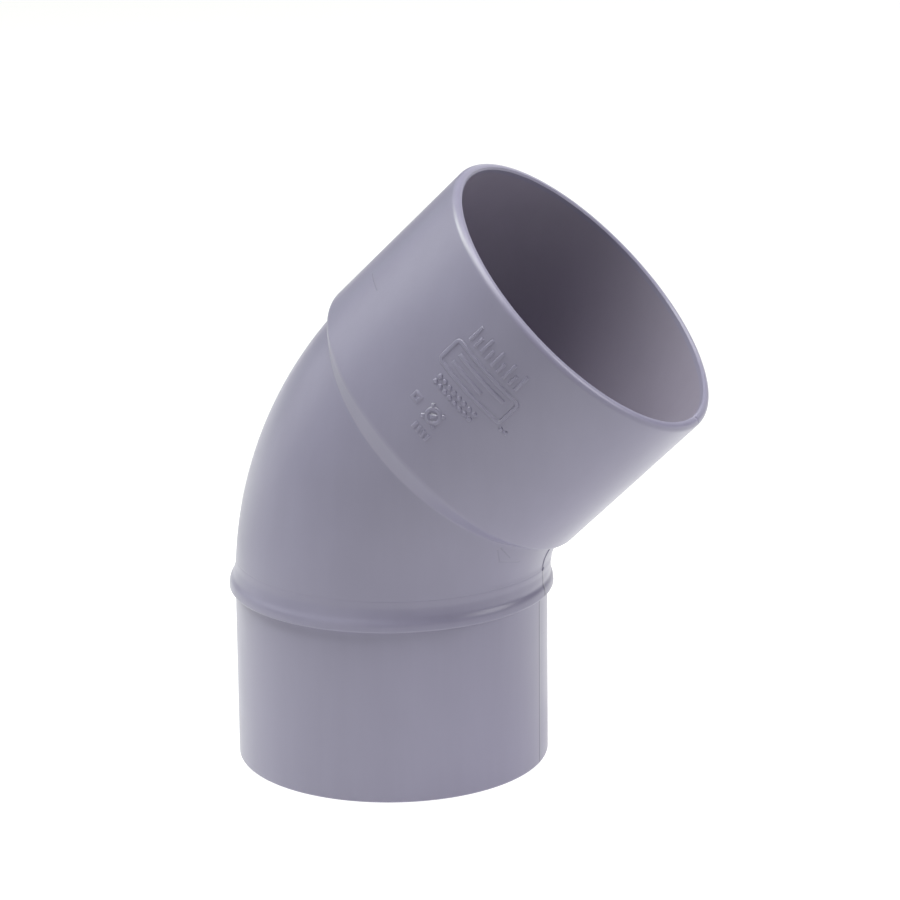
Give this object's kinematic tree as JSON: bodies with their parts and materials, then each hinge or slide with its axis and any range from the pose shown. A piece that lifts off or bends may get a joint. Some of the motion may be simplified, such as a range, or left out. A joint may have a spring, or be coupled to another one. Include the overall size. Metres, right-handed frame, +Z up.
{
  "type": "pipe bend",
  "caption": "45 degree PVC drain bend for 90 mm pipe, with a plain spigot, a stop bead, a smooth swept bend and a solvent-weld socket.",
  "frame": {"origin": "centre of the spigot's end face", "axes": "+Z runs up the spigot's axis into the fitting; the socket leans 45 degrees towards +X; the bend lies in the XZ plane"},
  "size_m": [0.1385, 0.096, 0.1738],
  "materials": {
    "pvc_grey": "semi-gloss moulded grey PVC"
  },
  "bodies": {
    "root": {"spigot": "pvc_grey", "stop_bead": "pvc_grey", "bend": "pvc_grey", "socket_shoulder": "pvc_grey", "socket_sleeve": "pvc_grey", "socket_rim": "pvc_grey", "throat_seam": "pvc_grey", "gate_vestige": "pvc_grey", "size_ticks": "pvc_grey", "label_frame": "pvc_grey", "label_lines": "pvc_grey", "batch_pips": "pvc_grey", "cavity_square": "pvc_grey", "date_dial": "pvc_grey", "date_pointer": "pvc_grey", "grade_bars": "pvc_grey", "index_pips": "pvc_grey"}
  },
  "joints": []
}
